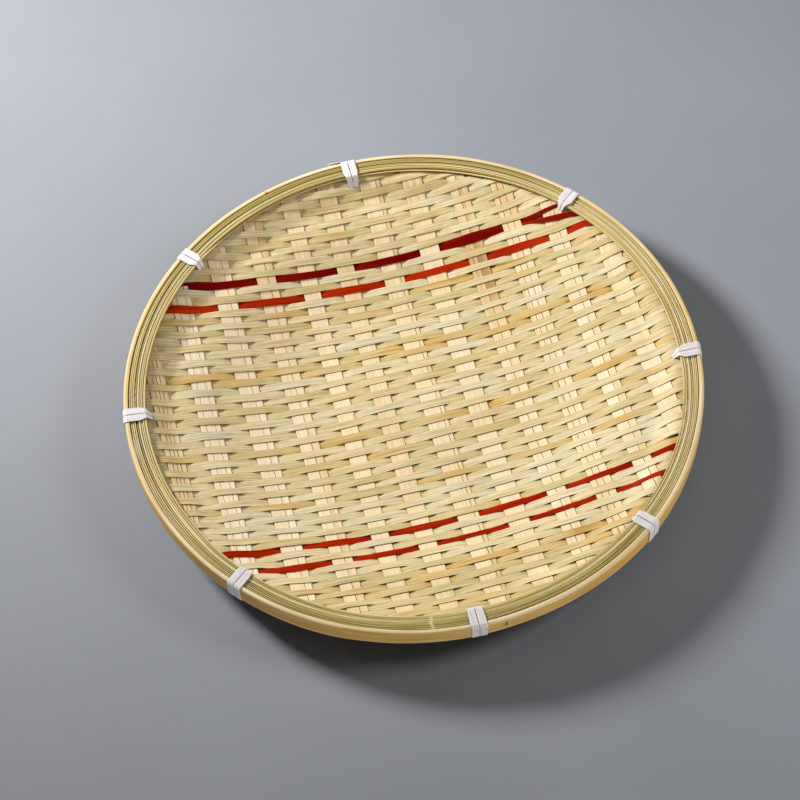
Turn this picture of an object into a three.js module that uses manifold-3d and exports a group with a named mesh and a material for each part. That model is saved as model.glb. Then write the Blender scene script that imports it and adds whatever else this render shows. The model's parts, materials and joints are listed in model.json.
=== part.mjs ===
// Round shallow tray of plain-woven bamboo splints in a bound bamboo rim, in millimetres.
// The origin is on the surface that the tray rests on, under the middle of the rim.
// +X runs along the wefts, +Y along the warps and +Z up.

import * as THREE from 'three';
import { mergeVertices } from 'three/addons/utils/BufferGeometryUtils.js';
import Module from 'manifold-3d';

const wasm = await Module();
wasm.setup();

// Whole tray
const outerDiameter = 230;
const trayHeight = 21;
const clearance = 0.3;

// Woven dish: a flat middle, then an S-shaped climb that levels out under the rim
const floorRadius = 30;
const steepestRadius = 80;
const rimAboveWeave = 6.25;
const weaveMargin = 1.9;

// Warps, the wide splints that lie flat
const warpCount = 12;
const warpWidth = 7.5;
const warpThickness = 0.5;
const warpStep = 12;
const leftWarpInset = 11.8;
const rightWarpInset = 17;

// Wefts, the narrow splints that pass over one warp and under the next
const weftThickness = 0.45;
const farRowInset = 2.8;
const nearRowInset = 5.2;
const redWidth = 2.4;
const sidePress = 0.1;

// Rows of weft from the far edge to the near one: plain runs with red rows between them.
// A plain run is made as bundles of two or three wefts that are pressed together side by side.
const rowRuns = [
  { rows: 12, bundles: 5 },
  { red: true },
  { rows: 2, bundles: 1 },
  { red: true },
  { rows: 35, bundles: 17 },
  { red: true },
  { rows: 2, bundles: 1 },
  { red: true },
  { rows: 12, bundles: 6 },
];

// Rim: an outer hoop, splints on edge and an inner hoop, side by side
const hoopSegments = 44;
const outerHoopThickness = 2;
const outerHoopHeight = 8.2;
const outerHoopBevel = 0.5;
const splintCount = 4;
const splintThickness = 0.9;
const innerHoopThickness = 1.5;
const innerHoopDrop = 0.3;

// Bindings: each a flat strap wound two turns round the rim and through the weave
const bindingAngles = [40, 90, 132, 174, 220, 268, 308, 351];
const strapWidth = 2.8;
const strapPinchedWidth = 2.1;
const strapThickness = 0.4;
const strapSlack = 0.6;
const strapSlant = 1.8;

// Rim radii and levels, worked out from the outside in
const outerRadius = outerDiameter / 2;
const outerHoopInside = outerRadius - outerHoopThickness;
const splintPitch = splintThickness + clearance;
const innerHoopOutside = outerHoopInside - splintCount * splintPitch - clearance;
const innerHoopInside = innerHoopOutside - innerHoopThickness;
const facetInset = 1 - Math.cos(Math.PI / hoopSegments);
const outerHoopBottom = trayHeight - outerHoopHeight;
const weaveRadius = outerHoopInside - weaveMargin;

// Places in the weave
const rowCount = rowRuns.reduce((sum, run) => sum + (run.red ? 1 : run.rows), 0);
const rowPitch = (2 * weaveRadius - farRowInset - nearRowInset) / (rowCount - 1);
const weftWidth = rowPitch - clearance;
const warpPitch = (2 * weaveRadius - leftWarpInset - rightWarpInset) / (warpCount - 1);
const warpX = (index) => leftWarpInset - weaveRadius + index * warpPitch;
const rowY = (row) => weaveRadius - farRowInset - row * rowPitch;

// Wave of a weft. Under a warp it lies flat, one lift below the warps' level. Over a warp it
// rises to a ridge that is high enough to clear the warp's two edges.
const lift = (warpThickness + weftThickness) / 2 + clearance;
const underHalf = warpWidth / 2 + clearance;
const rampRun = warpPitch - underHalf;
const ridge = lift * (2 * rampRun / (rampRun - warpWidth / 2) - 1);
const floorLevel = lift + weftThickness / 2;
const edgeLevel = trayHeight - rimAboveWeave;
const innerHoopBottom = edgeLevel + ridge + weftThickness / 2 + clearance;
const innerHoopTop = trayHeight - innerHoopDrop;

const finishes = {
  warp: { color: 0xe2cfa6, roughness: 0.72 },
  weft: { color: 0xcbb67c, roughness: 0.7 },
  redWeft: { color: 0x9a210a, roughness: 0.62 },
  outerHoop: { color: 0xd4b277, roughness: 0.6 },
  greenSplint: { color: 0xa5a868, roughness: 0.55 },
  innerHoop: { color: 0xd6c48c, roughness: 0.6 },
  strap: { color: 0xe4e3ea, roughness: 0.45 },
};

function namedMesh(name, geometry, finish) {
  const material = new THREE.MeshStandardMaterial({ ...finishes[finish], metalness: 0 });
  const mesh = new THREE.Mesh(geometry, material);
  mesh.name = name;
  return mesh;
}

function twoDigits(number) {
  return String(number).padStart(2, '0');
}

// A closed bar from four corners at each station along it
function barGeometry(stations) {
  const positions = stations.flat(2);
  const index = [];
  for (let s = 0; s + 1 < stations.length; s += 1) {
    for (let side = 0; side < 4; side += 1) {
      const here = 4 * s + side;
      const beside = 4 * s + ((side + 1) % 4);
      index.push(here, beside, beside + 4, here, beside + 4, here + 4);
    }
  }
  const last = 4 * (stations.length - 1);
  index.push(0, 2, 1, 0, 3, 2);
  index.push(last, last + 1, last + 2, last, last + 2, last + 3);
  const geometry = new THREE.BufferGeometry();
  geometry.setAttribute('position', new THREE.Float32BufferAttribute(positions, 3));
  geometry.setIndex(index);
  return geometry;
}

function toSolid(geometry) {
  const bare = geometry.clone();
  bare.deleteAttribute('normal');
  bare.deleteAttribute('uv');
  const merged = mergeVertices(bare);
  return new wasm.Manifold(new wasm.Mesh({
    numProp: 3,
    vertProperties: new Float32Array(merged.attributes.position.array),
    triVerts: new Uint32Array(merged.index.array),
  }));
}

function toGeometry(solid) {
  const mesh = solid.getMesh();
  const geometry = new THREE.BufferGeometry();
  geometry.setAttribute('position', new THREE.BufferAttribute(mesh.vertProperties, 3));
  geometry.setIndex(new THREE.BufferAttribute(mesh.triVerts, 1));
  return geometry;
}

// The dish's middle surface: its height and its slope away from the centre
function dishProfile(radius) {
  const steepest = 2 * (edgeLevel - floorLevel) / (weaveRadius - floorRadius);
  if (radius <= floorRadius) {
    return { height: floorLevel, slope: 0 };
  }
  if (radius < steepestRadius) {
    const run = radius - floorRadius;
    const slope = steepest * run / (steepestRadius - floorRadius);
    return { height: floorLevel + slope * run / 2, slope };
  }
  const left = Math.max(0, weaveRadius - radius);
  const slope = steepest * left / (weaveRadius - steepestRadius);
  return { height: edgeLevel - slope * left / 2, slope };
}

// A point at a height above the dish, measured square to its surface
function aboveDish(x, y, height) {
  const radius = Math.hypot(x, y);
  const { height: level, slope } = dishProfile(radius);
  const tilt = Math.hypot(1, slope);
  const outward = radius > 0 ? -slope * height / (tilt * radius) : 0;
  return [x + x * outward, y + y * outward, level + height / tilt];
}

// Where a straight splint ends, so that both its corners stay inside the weave's edge
function reach(centre, halfWidth) {
  const corner = Math.abs(centre) + halfWidth;
  return Math.sqrt(Math.max(0, weaveRadius ** 2 - corner ** 2));
}

// Warps

function warpGeometry(index) {
  const x = warpX(index);
  const half = warpWidth / 2;
  const end = reach(x, half);
  const steps = Math.ceil(2 * end / warpStep);
  const stations = [];
  for (let s = 0; s <= steps; s += 1) {
    const y = end * (2 * s / steps - 1);
    stations.push([
      aboveDish(x - half, y, -warpThickness / 2),
      aboveDish(x - half, y, warpThickness / 2),
      aboveDish(x + half, y, warpThickness / 2),
      aboveDish(x + half, y, -warpThickness / 2),
    ]);
  }
  return barGeometry(stations);
}

// Wefts

const passesOver = (row, warp) => (row + warp) % 2 === 0;

// The turning points of a row's wave, from one warp beyond each side of the weave
function wavePoints(row) {
  const points = [];
  for (let warp = -2; warp < warpCount + 2; warp += 1) {
    const x = warpX(warp);
    if (passesOver(row, Math.abs(warp))) {
      points.push([x, ridge]);
    } else {
      points.push([x - underHalf, -lift], [x + underHalf, -lift]);
    }
  }
  return points;
}

function waveHeight(points, x) {
  const next = points.findIndex(([at]) => at >= x);
  const [x0, h0] = points[next - 1];
  const [x1, h1] = points[next];
  return h0 + (h1 - h0) * (x - x0) / (x1 - x0);
}

// One weft. A pressed one widens on its far side midway between the two middle warps, where
// it and its neighbour cross at the same height, until the two touch there.
function weftGeometry(row, width, pressed) {
  const y = rowY(row);
  const half = width / 2;
  const end = reach(y, half);
  const points = wavePoints(row);
  const crossing = warpX((warpCount - 1) / 2);
  const places = points.map(([x]) => x).filter((x) => Math.abs(x) < end - clearance);
  places.push(-end, end);
  if (pressed) {
    places.push(crossing);
  }
  places.sort((a, b) => a - b);
  const stations = places.map((x) => {
    const widened = pressed && x === crossing;
    const farY = y + half + (widened ? clearance + sidePress : 0);
    const nearY = y - half;
    const height = waveHeight(points, x);
    return [
      aboveDish(x, nearY, height - weftThickness / 2),
      aboveDish(x, farY, height - weftThickness / 2),
      aboveDish(x, farY, height + weftThickness / 2),
      aboveDish(x, nearY, height + weftThickness / 2),
    ];
  });
  return barGeometry(stations);
}

function bundleSolid(firstRow, size) {
  const wefts = [];
  for (let k = 0; k < size; k += 1) {
    wefts.push(toSolid(weftGeometry(firstRow + k, weftWidth, k > 0)));
  }
  return wefts.reduce((joined, weft) => joined.add(weft));
}

// Rim

// A hoop whose section is given as [radius, height] points, anticlockwise
function hoopGeometry(section) {
  const closed = [...section, section[0]].map(([radius, height]) => new THREE.Vector2(radius, height));
  return new THREE.LatheGeometry(closed, hoopSegments).rotateX(Math.PI / 2);
}

function rectangleSection(inside, outside, bottom, top) {
  return [[inside, bottom], [outside, bottom], [outside, top], [inside, top]];
}

function outerHoopGeometry() {
  return hoopGeometry([
    [outerHoopInside, outerHoopBottom],
    [outerRadius - outerHoopBevel, outerHoopBottom],
    [outerRadius, outerHoopBottom + outerHoopBevel],
    [outerRadius, trayHeight - outerHoopBevel],
    [outerRadius - outerHoopBevel, trayHeight],
    [outerHoopInside, trayHeight],
  ]);
}

function splintGeometry(index) {
  const outside = outerHoopInside - clearance - index * splintPitch;
  return hoopGeometry(rectangleSection(outside - splintThickness, outside, innerHoopBottom, innerHoopTop));
}

// Bindings

// The strap's path round the rim's section, as [radius, height] corners of its inner face
const strapInside = innerHoopInside * (1 - facetInset) - clearance;
const strapLoop = {
  underInner: [outerHoopInside * (1 - facetInset) - clearance, outerHoopBottom - clearance],
  underOuter: [outerRadius + clearance, outerHoopBottom - clearance],
  topOuter: [outerRadius + clearance, trayHeight + clearance],
  topInner: [strapInside, innerHoopTop + clearance],
  belowWeave: [strapInside - strapSlant, edgeLevel - lift - weftThickness / 2 - strapSlack],
};
const loopOrder = ['underInner', 'underOuter', 'topOuter', 'topInner', 'belowWeave'];

// The same corner on the strap's outer face, with a mitre between the two runs that meet there
function outerCorner(name) {
  const at = loopOrder.indexOf(name);
  const [before, here, after] = [at + 4, at, at + 1].map((k) => {
    return new THREE.Vector2(...strapLoop[loopOrder[k % loopOrder.length]]);
  });
  const runIn = here.clone().sub(before).normalize();
  const runOut = after.clone().sub(here).normalize();
  const outwardIn = new THREE.Vector2(runIn.y, -runIn.x);
  const outwardOut = new THREE.Vector2(runOut.y, -runOut.x);
  const mitre = outwardIn.clone().add(outwardOut).normalize();
  return here.addScaledVector(mitre, strapThickness / mitre.dot(outwardIn));
}

function bindingGeometry(angle) {
  const turnOffset = (width) => (width + clearance) / 2;
  const around = new THREE.Matrix4().makeRotationZ(THREE.MathUtils.degToRad(angle));
  const stations = [];
  for (const side of [-1, 1]) {
    for (const name of loopOrder) {
      const pinched = name === 'topInner' || name === 'belowWeave';
      const width = pinched ? strapPinchedWidth : strapWidth;
      const middle = side * turnOffset(width);
      const [innerRadius, innerHeight] = strapLoop[name];
      const outer = outerCorner(name);
      const corners = [
        [innerRadius, middle - width / 2, innerHeight],
        [outer.x, middle - width / 2, outer.y],
        [outer.x, middle + width / 2, outer.y],
        [innerRadius, middle + width / 2, innerHeight],
      ];
      stations.push(corners.map((corner) => new THREE.Vector3(...corner).applyMatrix4(around).toArray()));
    }
  }
  return barGeometry(stations);
}

// The radius of the strap's inner face at a height on its slanting way down through the weave
function strapRadius(height) {
  const [topRadius, topHeight] = strapLoop.topInner;
  const [lowRadius, lowHeight] = strapLoop.belowWeave;
  return lowRadius + (topRadius - lowRadius) * (height - lowHeight) / (topHeight - lowHeight);
}

// The hole that a binding needs in the weave, just inside the inner hoop. It slants with the
// strap, and leaves a clearance on each side of it and one between its two turns.
function bindingHole(angle) {
  const width = 2 * strapPinchedWidth + 3 * clearance;
  const [, bottom] = strapLoop.belowWeave;
  const inner = -strapThickness - clearance;
  const section = new THREE.Shape([
    new THREE.Vector2(strapRadius(bottom) + inner, bottom),
    new THREE.Vector2(strapRadius(bottom) + clearance, bottom),
    new THREE.Vector2(strapRadius(innerHoopBottom) + clearance, innerHoopBottom),
    new THREE.Vector2(strapRadius(innerHoopBottom) + inner, innerHoopBottom),
  ]);
  const block = new THREE.ExtrudeGeometry(section, { depth: width, bevelEnabled: false });
  block.rotateX(Math.PI / 2);
  block.translate(0, width / 2, 0);
  block.rotateZ(THREE.MathUtils.degToRad(angle));
  return toSolid(block);
}

const holes = bindingAngles.map(bindingHole);

// A splint with the binding holes cut from it. A short end that a hole cuts right off is left out.
function pierced(solid) {
  const cut = holes.reduce((rest, hole) => rest.subtract(hole), solid);
  return cut.decompose().reduce((largest, piece) => (piece.volume() > largest.volume() ? piece : largest));
}

// Assembly

const tray = new THREE.Group();

for (let index = 0; index < warpCount; index += 1) {
  const geometry = toGeometry(pierced(toSolid(warpGeometry(index))));
  tray.add(namedMesh(`warp_${twoDigits(index + 1)}`, geometry, 'warp'));
}

let row = 0;
let redNumber = 0;
for (const run of rowRuns) {
  if (run.red) {
    redNumber += 1;
    const solid = pierced(toSolid(weftGeometry(row, redWidth, false)));
    tray.add(namedMesh(`red_weft_${redNumber}`, toGeometry(solid), 'redWeft'));
    row += 1;
    continue;
  }
  for (let bundle = 0; bundle < run.bundles; bundle += 1) {
    const size = Math.ceil((run.rows - bundle) / run.bundles);
    const name = `wefts_${twoDigits(row + 1)}_${twoDigits(row + size)}`;
    tray.add(namedMesh(name, toGeometry(pierced(bundleSolid(row, size))), 'weft'));
    row += size;
  }
}

tray.add(namedMesh('outer_hoop', outerHoopGeometry(), 'outerHoop'));
for (let index = 0; index < splintCount; index += 1) {
  tray.add(namedMesh(`rim_splint_${index + 1}`, splintGeometry(index), 'greenSplint'));
}
tray.add(namedMesh(
  'inner_hoop',
  hoopGeometry(rectangleSection(innerHoopInside, innerHoopOutside, innerHoopBottom, innerHoopTop)),
  'innerHoop',
));

bindingAngles.forEach((angle, index) => {
  tray.add(namedMesh(`binding_${index + 1}`, bindingGeometry(angle), 'strap'));
});

export default tray;
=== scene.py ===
# %% [markdown]
# # A woven bamboo tray with a bound rim
#
# The real tray is a shallow dish, 23 cm across. Wide pale splints, the warps, run from the far edge to
# the near one. Narrow splints, the wefts, run across them, over one and under the next, and four of them
# are dyed red. A rim of bamboo hoops and thin green strips grips the weave, tied at eight places with two
# turns of a flat white strap.
#
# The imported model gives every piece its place, so it is loaded first. Each of its pieces is then replaced
# by a finer one in the same place.

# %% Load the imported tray
import json
import math

import bpy
import numpy as np
from mathutils import Matrix, Vector

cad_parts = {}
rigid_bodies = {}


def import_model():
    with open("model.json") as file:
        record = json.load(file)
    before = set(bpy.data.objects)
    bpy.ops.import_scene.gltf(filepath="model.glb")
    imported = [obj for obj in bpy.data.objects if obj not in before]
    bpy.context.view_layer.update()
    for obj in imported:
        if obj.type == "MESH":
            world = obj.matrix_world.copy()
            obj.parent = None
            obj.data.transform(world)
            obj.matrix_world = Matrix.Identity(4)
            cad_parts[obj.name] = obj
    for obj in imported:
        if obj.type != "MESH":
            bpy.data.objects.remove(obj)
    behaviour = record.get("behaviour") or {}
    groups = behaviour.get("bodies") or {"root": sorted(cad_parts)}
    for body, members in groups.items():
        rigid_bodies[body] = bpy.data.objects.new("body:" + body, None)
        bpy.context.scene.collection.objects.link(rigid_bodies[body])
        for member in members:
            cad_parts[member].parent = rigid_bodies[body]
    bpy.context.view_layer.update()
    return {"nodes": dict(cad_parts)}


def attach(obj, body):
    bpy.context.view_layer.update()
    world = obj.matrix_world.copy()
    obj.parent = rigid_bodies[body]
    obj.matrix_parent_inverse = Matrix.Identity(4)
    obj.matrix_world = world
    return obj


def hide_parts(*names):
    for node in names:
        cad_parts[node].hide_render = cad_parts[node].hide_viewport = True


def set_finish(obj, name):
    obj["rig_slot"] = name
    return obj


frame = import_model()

MM = 0.001  # Blender works in metres, and every size below is in millimetres

# %% [markdown]
# ## The camera
#
# A camera can be placed by eye, but a close match needs numbers. These were fitted to the rim's oval and
# to the crossings of the weave: a long lens that looks down at 56 degrees from in front, a little to the
# left, with a small roll. The camera's own axes follow from those angles, as the columns of its matrix.

# %% Place the camera
rim_top = 21
frame_pixels = 800
focal_pixels = 2300
camera_azimuth, camera_elevation, camera_roll = (math.radians(a) for a in (-11.15, 56.07, -3.47))
camera_distance = 911.1
camera_right, camera_up = -5.02, -9.15

toward_camera = Vector((
    math.sin(camera_azimuth) * math.cos(camera_elevation),
    -math.cos(camera_azimuth) * math.cos(camera_elevation),
    math.sin(camera_elevation),
))
level_right = Vector((math.cos(camera_azimuth), math.sin(camera_azimuth), 0))
level_up = toward_camera.cross(level_right)
right = level_right * math.cos(camera_roll) + level_up * math.sin(camera_roll)
up = level_up * math.cos(camera_roll) - level_right * math.sin(camera_roll)
place = Vector((0, 0, rim_top)) + toward_camera * camera_distance + right * camera_right + up * camera_up

camera_data = bpy.data.cameras.new("camera")
camera_data.sensor_width = 36  # mm, Blender's own default
camera_data.lens = camera_data.sensor_width * focal_pixels / frame_pixels
camera = bpy.data.objects.new("camera", camera_data)
bpy.context.scene.collection.objects.link(camera)
turn = Matrix((right, up, toward_camera)).transposed().to_4x4()
camera.matrix_world = Matrix.Translation(place * MM) @ turn
bpy.context.scene.camera = camera
print("lens, mm:", round(camera_data.lens, 1))

# %% [markdown]
# ## Colours and nodes
#
# Colours are written as the hex values that a picture program shows. Blender mixes light in linear
# values, so one function turns each hex value to linear. A second small one adds any shader node with its
# settings, and gives each input a plain value or a link from another node's output. Each material below
# is a chain of such calls.

# %% Colour and node helpers
def linear(hex_colour):
    """The linear RGBA of an sRGB hex colour."""
    parts = [int(hex_colour[i:i + 2], 16) / 255 for i in (0, 2, 4)]
    return [c / 12.92 if c <= 0.04045 else ((c + 0.055) / 1.055) ** 2.4 for c in parts] + [1]


def add_node(tree, kind, inputs=None, stops=None, **settings):
    """Adds a node. An input's value is a plain value or a socket to link from."""
    node = tree.nodes.new("ShaderNode" + kind)
    for name, value in settings.items():
        setattr(node, name, value)
    for name, value in (inputs or {}).items():
        if isinstance(value, bpy.types.NodeSocket):
            tree.links.new(value, node.inputs[name])
        else:
            node.inputs[name].default_value = value
    for number, (place_on_ramp, colour) in enumerate(stops or []):
        ramp = node.color_ramp.elements
        stop = ramp[number] if number < 2 else ramp.new(place_on_ramp)
        stop.position = place_on_ramp
        stop.color = linear(colour)
    return node


def new_material(name):
    """An empty material: its node tree and its main shader, already linked to the output."""
    material = bpy.data.materials.new(name)
    material.use_nodes = True
    tree = material.node_tree
    tree.nodes.clear()
    shader = add_node(tree, "BsdfPrincipled")
    add_node(tree, "OutputMaterial", {"Surface": shader.outputs["BSDF"]})
    return material, tree, shader


print("linear value of 808080:", round(linear("808080")[0], 3))

# %% [markdown]
# ## The light and the floor
#
# The tray lies on a plain cool-grey surface. The main lamp stands behind and to the left,
# about a third of the way up, so the rim throws a shadow to the right and towards the camera. Its beam is
# aimed past the tray and fades at its edge, so the floor is brighter at the far left. A weaker lamp on the
# right throws a second, faint shadow. Both are placed by where the tray's shadows end in the picture.
#
# Two small lamps stand low: one in front lights the rim's upright wall, and one at the right lights the
# dish's slope at the left, as a white wall would. Light linking tells both to leave the floor out, and a
# weak, even sky fills the rest.

# %% Light and floor
def lamp(name, place, target, size, power, colour, beam=180):
    """A round lamp at a place, facing a target, in mm and watts, with the width of its beam in degrees."""
    data = bpy.data.lights.new(name, "AREA")
    data.shape = "DISK"
    data.size = size * MM
    data.energy = power
    data.color = linear(colour)[:3]
    data.spread = math.radians(beam)
    light = bpy.data.objects.new(name, data)
    bpy.context.scene.collection.objects.link(light)
    light.location = Vector(place) * MM
    light.rotation_euler = (Vector(place) - Vector(target)).to_track_quat("Z", "Y").to_euler()
    return light


lamp("main_lamp", (-482, 482, 414), (215, 43, 0), 185, 3.48, "FFF9F0", beam=100)
lamp("right_lamp", (678, -163, 569), (0, 0, 0), 300, 2.55, "FFF9F0")
front_lamp = lamp("front_lamp", (108, -900, 66), (0, 0, 10), 120, 2.7, "FFF4E6")
low_right_lamp = lamp("low_right_lamp", (700, -60, 150), (-60, 0, 10), 300, 0.9, "FFEBC8")

world = bpy.data.worlds.new("sky")
bpy.context.scene.world = world
world.use_nodes = True
sky = world.node_tree.nodes["Background"]
sky.inputs["Color"].default_value = linear("FFF2E0")
sky.inputs["Strength"].default_value = 0.1

bpy.context.scene.view_settings.view_transform = "Standard"

floor_material, tree, shader = new_material("grey_painted_board")
# Matt paint on a board: even and cool, with a very faint mottle from the roller.
where = add_node(tree, "TexCoord").outputs["Object"]
mottle = add_node(tree, "TexNoise", {"Vector": where, "Scale": 12, "Detail": 2})
paint = add_node(tree, "ValToRGB", {"Fac": mottle.outputs["Fac"]}, stops=[(0.3, "8B93A1"), (0.7, "8F97A5")])
tree.links.new(paint.outputs["Color"], shader.inputs["Base Color"])
shader.inputs["Roughness"].default_value = 0.6

floor_half = 3000 * MM
floor_mesh = bpy.data.meshes.new("floor")
floor_corners = [(-1, -1, 0), (1, -1, 0), (1, 1, 0), (-1, 1, 0)]
floor_mesh.from_pydata([[floor_half * v for v in corner] for corner in floor_corners], [], [(0, 1, 2, 3)])
floor_mesh.materials.append(floor_material)
floor = bpy.data.objects.new("floor", floor_mesh)
bpy.context.scene.collection.objects.link(floor)

# Without this, each low lamp would burn a white patch into the floor near it.
unlit_by_low = bpy.data.collections.new("unlit_by_low_lamps")
unlit_by_low.objects.link(floor)
unlit_by_low.collection_objects[0].light_linking.link_state = "EXCLUDE"
for low_lamp in (front_lamp, low_right_lamp):
    low_lamp.light_linking.receiver_collection = unlit_by_low
print("floor and lamps placed")

# %% [markdown]
# ## How a splint is built
#
# A splint is a long strip with a small section. It could be a cube that is scaled and bent with
# modifiers, but hundreds of bends that each weave past a neighbour are easier to work out as numbers: the
# section at many stations along the strip, and faces between neighbouring stations. The same function
# makes the splints, the hoops and the straps. An open strip gets a face at each end, and a closed one
# joins its last station to its first.
#
# Two UV maps are laid along each piece. The one named Grain is in millimetres, so a fibre pattern keeps its
# real size on every piece. The other fills the square once, so that a picture baked from the material
# keeps the fibres sharp. A number named tone at each point tells the materials pale places from dark ones.

# %% Mesh helper
BAKE_MAP = "OFBake"
grain_row = 30  # mm between two pieces on the Grain map, so that no two show the same fibres
end_disc = 0.02  # radius of a strip's end on the bake map, where the strip itself fills the lower 0.94
piece_count = 0


def sweep(name, rings, along, tone, material, closed=False):
    """A strip from its section at each station, as an array of stations, points and x, y, z in mm."""
    global piece_count
    stations, points = rings.shape[:2]
    spans = stations if closed else stations - 1
    edges = np.linalg.norm(np.roll(rings, -1, axis=1) - rings, axis=2).mean(axis=0)
    around = np.concatenate([[0], np.cumsum(edges)])
    s, p = (grid.ravel() for grid in np.meshgrid(np.arange(spans), np.arange(points), indexing="ij"))
    s_next, p_next = (s + 1) % stations, (p + 1) % points
    corners = [s * points + p, s * points + p_next, s_next * points + p_next, s_next * points + p]
    faces = np.stack(corners, axis=1).tolist()
    u = np.stack([along[s], along[s], along[s + 1], along[s + 1]], axis=1).ravel()
    v = np.stack([around[p], around[p + 1], around[p + 1], around[p]], axis=1).ravel()
    strip_share = 1
    if not closed:
        strip_share = 0.94
        faces.append(list(range(points))[::-1])
        faces.append(list(range((stations - 1) * points, stations * points)))
    mesh = bpy.data.meshes.new(name)
    mesh.from_pydata((rings.reshape(-1, 3) * MM).tolist(), [], faces)

    grain = np.stack([u, v + grain_row * piece_count], axis=1)
    length = along[-1] - along[0]
    bake = np.stack([(u - along[0]) / length, v / around[-1] * strip_share], axis=1)
    if not closed:
        circle = np.linspace(0, 2 * np.pi, points, endpoint=False)
        disc = np.stack([np.cos(circle), np.sin(circle)], axis=1)
        for number, end in enumerate((along[0], along[-1])):
            cap = disc if number else disc[::-1]
            grain = np.concatenate([grain, [end, grain_row * piece_count] + cap])
            bake = np.concatenate([bake, [0.05 + 0.1 * number, 0.97] + end_disc * cap])
    for map_name, values in (("Grain", grain), (BAKE_MAP, bake)):
        layer = mesh.uv_layers.new(name=map_name)
        layer.uv.foreach_set("vector", values.astype(np.float32).ravel())
    tones = mesh.attributes.new("tone", "FLOAT", "POINT")
    tones.data.foreach_set("value", np.broadcast_to(tone, (stations, points)).astype(np.float32).ravel())
    mesh.materials.append(material)
    mesh.polygons.foreach_set("use_smooth", [True] * len(mesh.polygons))
    mesh.set_sharp_from_angle(angle=math.radians(40))
    mesh.validate()
    piece = bpy.data.objects.new(name, mesh)
    bpy.context.scene.collection.objects.link(piece)
    piece_count += 1
    return piece


def belongs(piece, slot, *nodes):
    """The piece stays with the tray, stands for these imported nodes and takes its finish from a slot."""
    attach(piece, "root")
    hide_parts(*nodes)
    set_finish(piece, slot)


# %% [markdown]
# Nothing split by hand is quite even, so widths, heights and tones wander a little along each piece, on a
# smooth curve through random values at even steps. The seed makes it the same each time.

# %% Wander helper
chance = np.random.default_rng(23)


def smooth(share):
    """A share from 0 to 1 that starts and ends gently."""
    return share * share * (3 - 2 * share)


def eased(values, at):
    """The value at each place, counted in steps, on a smooth curve through values one step apart."""
    low = np.clip(at.astype(int), 0, len(values) - 2)
    share = smooth(at - low)
    return values[low] * (1 - share) + values[low + 1] * share


def wander(along, step, amount, ring=False):
    """A smooth random curve of about plus or minus an amount, with a new value at each step."""
    count = max(3, math.ceil(np.ptp(along) / step))
    values = chance.uniform(-amount, amount, count + 2)
    if ring:
        values[count] = values[0]
    return eased(values, (along - along.min()) / max(np.ptp(along), 1) * count)


# %% [markdown]
# ## Bamboo for the weave
#
# The splints are split bamboo: the culm is cut lengthwise and scraped to an even thickness, and isn't
# varnished. That leaves a dry, matt face with straight fibres, pale straw near the culm's inside and
# greener or browner near its skin. The real fibres are about 0.2 mm apart, finer than a pixel of the
# picture, so they are drawn about 0.5 mm apart. Broad streaks and a slow change of tone along the splint
# carry what the eye sees first.

# %% Split bamboo
fibre_run, streak_run = 22, 70  # mm along the splint before a fibre or a streak fades into another


def split_bamboo(name, stops, shade, fibre_width=0.5, streak_width=1.7, streak_pull=0.1,
                 shade_share=0.4, roughness=(0.52, 0.72), fibre_depth=0.03, gloss=0.14):
    """Bamboo with fibres along the Grain map. The stops go from tone 0 to tone 1."""
    material, tree, shader = new_material(name)
    grain = add_node(tree, "UVMap", uv_map="Grain").outputs["UV"]
    # Each pattern is a stretched noise: so many mm along the splint and so many across it. Its values lie
    # mostly between 0.3 and 0.7.
    scales = (1 / fibre_run, 1 / fibre_width, 1), (1 / streak_run, 1 / streak_width, 1)
    fine, broad = (add_node(tree, "VectorMath", {0: grain, 1: scale}, operation="MULTIPLY") for scale in scales)
    fibres = add_node(tree, "TexNoise", {"Vector": fine.outputs[0], "Scale": 1, "Detail": 2})
    streaks = add_node(tree, "TexNoise", {"Vector": broad.outputs[0], "Scale": 1, "Detail": 3})
    tone = add_node(tree, "Attribute", attribute_name="tone")
    pull = add_node(tree, "MapRange", {
        "Value": streaks.outputs["Fac"], "From Min": 0.3, "From Max": 0.7,
        "To Min": -streak_pull, "To Max": streak_pull,
    })
    mixed_tone = add_node(tree, "Math", {0: tone.outputs["Fac"], 1: pull.outputs["Result"]}, operation="ADD")
    body = add_node(tree, "ValToRGB", {"Fac": mixed_tone.outputs[0]}, stops=stops)
    dark = add_node(tree, "MapRange", {
        "Value": fibres.outputs["Fac"], "From Min": 0.58, "From Max": 0.38,
        "To Min": 0, "To Max": shade_share,
    })
    coloured = add_node(tree, "Mix", {
        0: dark.outputs["Result"], 6: body.outputs["Color"], 7: linear(shade),
    }, data_type="RGBA", blend_type="MULTIPLY")
    tree.links.new(coloured.outputs[2], shader.inputs["Base Color"])
    dry = add_node(tree, "MapRange", {
        "Value": fibres.outputs["Fac"], "From Min": 0.35, "From Max": 0.65,
        "To Min": roughness[0], "To Max": roughness[1],
    })
    tree.links.new(dry.outputs["Result"], shader.inputs["Roughness"])
    ridges = add_node(tree, "Bump", {
        "Height": fibres.outputs["Fac"], "Strength": 0.6, "Distance": fibre_depth * MM,
    })
    tree.links.new(ridges.outputs["Normal"], shader.inputs["Normal"])
    shader.inputs["IOR"].default_value = 1.5
    shader.inputs["Specular IOR Level"].default_value = gloss
    return material


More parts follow.
